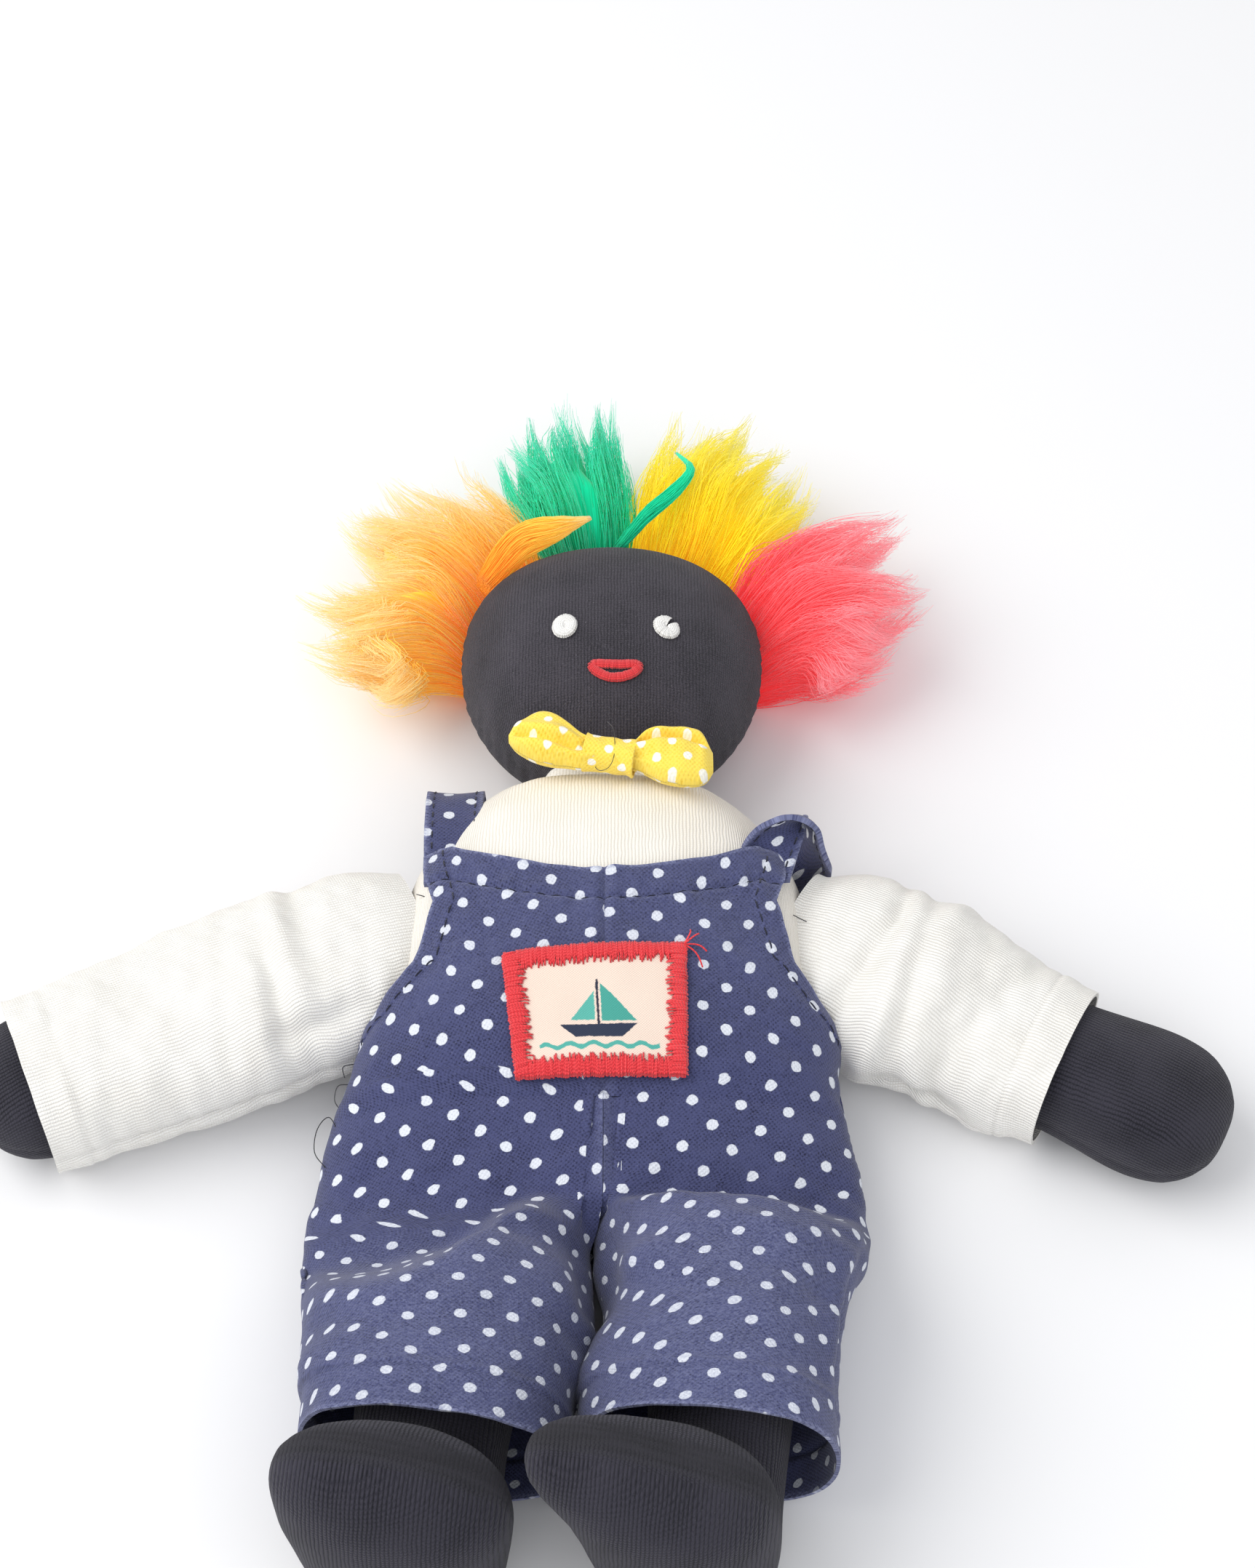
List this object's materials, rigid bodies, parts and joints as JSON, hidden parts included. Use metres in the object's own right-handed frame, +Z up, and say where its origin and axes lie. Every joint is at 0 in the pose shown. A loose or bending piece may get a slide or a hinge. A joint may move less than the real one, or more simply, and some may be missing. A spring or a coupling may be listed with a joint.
{
  "type": "rag doll",
  "caption": "Small stuffed cloth doll in dotted dungarees and a jersey top, with a bow, embroidered face and wool hair, lying on its back with floppy limbs.",
  "frame": {"origin": "middle of the upper back, on the flat where the body rests on the surface", "axes": "+Z up from the surface through the doll's front, +Y towards the head, +X towards the doll's own left"},
  "size_m": [0.2377, 0.2785, 0.0481],
  "materials": {
    "jersey_cream": "fine ribbed cotton jersey, cream",
    "jersey_dark": "fine cotton jersey, charcoal",
    "stuffing": "polyester fibre filling",
    "cotton_navy": "plain-weave cotton, navy with white pin dots",
    "cotton_yellow": "plain-weave cotton, yellow with white dots",
    "label_cream": "woven label cloth, cream",
    "thread_red": "red satin-stitch thread",
    "thread_white": "off-white embroidery thread",
    "wool_orange": "combed wool, orange",
    "wool_green": "combed wool, green",
    "wool_yellow": "combed wool, yellow",
    "wool_red": "combed wool, coral red"
  },
  "bodies": {
    "torso": {"torso_cover": "jersey_cream", "torso_stuffing": "stuffing", "bib_left": "cotton_navy", "bib_right": "cotton_navy", "back_left": "cotton_navy", "back_right": "cotton_navy", "hip_fold_left": "cotton_navy", "hip_fold_right": "cotton_navy", "strap_left": "cotton_navy", "strap_right": "cotton_navy", "label": "label_cream", "label_border": "thread_red", "sleeve_cap_left": "jersey_cream", "sleeve_cap_right": "jersey_cream", "bow_loop_left": "cotton_yellow", "bow_loop_right": "cotton_yellow", "bow_band": "cotton_yellow"},
    "neck": {"neck": "jersey_cream"},
    "head": {"head_cover": "jersey_dark", "head_stuffing": "stuffing", "eye_left": "thread_white", "eye_right": "thread_white", "mouth": "thread_red", "hair_orange": "wool_orange", "hair_green": "wool_green", "hair_yellow": "wool_yellow", "hair_red": "wool_red"},
    "shoulder_left": {"shoulder_gather_left": "jersey_dark"},
    "arm_left": {"arm_cover_left": "jersey_dark", "arm_stuffing_left": "stuffing", "sleeve_left": "jersey_cream"},
    "shoulder_right": {"shoulder_gather_right": "jersey_dark"},
    "arm_right": {"arm_cover_right": "jersey_dark", "arm_stuffing_right": "stuffing", "sleeve_right": "jersey_cream"},
    "hip_left": {"hip_gather_left": "jersey_dark"},
    "leg_left": {"leg_cover_left": "jersey_dark", "leg_stuffing_left": "stuffing", "trouser_leg_left": "cotton_navy"},
    "hip_right": {"hip_gather_right": "jersey_dark"},
    "leg_right": {"leg_cover_right": "jersey_dark", "leg_stuffing_right": "stuffing", "trouser_leg_right": "cotton_navy"}
  },
  "joints": [
    {"name": "neck_nod", "type": "hinge", "parent": "torso", "child": "neck", "pos_m": [0, 0.03625, 0.018], "axis": [1, 0, 0], "range_deg": [-25, 18], "deforming": ["bow_loop_left", "bow_loop_right"]},
    {"name": "head_turn", "type": "hinge", "parent": "neck", "child": "head", "pos_m": [0, 0.03625, 0.018], "axis": [0, 1, 0], "range_deg": [-30, 30]},
    {"name": "shoulder_left_swing", "type": "hinge", "parent": "torso", "child": "shoulder_left", "pos_m": [0.042, 0, 0.016], "axis": [0, -1, 0], "range_deg": [-20, 50], "deforming": ["sleeve_cap_left"]},
    {"name": "arm_left_raise", "type": "hinge", "parent": "shoulder_left", "child": "arm_left", "pos_m": [0.042, 0, 0.016], "axis": [0, 0, 1], "range_deg": [-9, 65]},
    {"name": "shoulder_right_swing", "type": "hinge", "parent": "torso", "child": "shoulder_right", "pos_m": [-0.042, 0, 0.016], "axis": [0, 1, 0], "range_deg": [-20, 50], "deforming": ["sleeve_cap_right"]},
    {"name": "arm_right_raise", "type": "hinge", "parent": "shoulder_right", "child": "arm_right", "pos_m": [-0.042, 0, 0.016], "axis": [0, 0, -1], "range_deg": [-13, 65]},
    {"name": "hip_left_flex", "type": "hinge", "parent": "torso", "child": "hip_left", "pos_m": [0.0245, -0.052, 0.014], "axis": [-1, 0, 0], "range_deg": [-25, 65], "deforming": ["hip_fold_left"]},
    {"name": "leg_left_spread", "type": "hinge", "parent": "hip_left", "child": "leg_left", "pos_m": [0.0245, -0.052, 0.014], "axis": [0, 0, 1], "range_deg": [0, 20]},
    {"name": "hip_right_flex", "type": "hinge", "parent": "torso", "child": "hip_right", "pos_m": [-0.0245, -0.052, 0.014], "axis": [-1, 0, 0], "range_deg": [-25, 65], "deforming": ["hip_fold_right"]},
    {"name": "leg_right_spread", "type": "hinge", "parent": "hip_right", "child": "leg_right", "pos_m": [-0.0245, -0.052, 0.014], "axis": [0, 0, -1], "range_deg": [0, 20]}
  ]
}
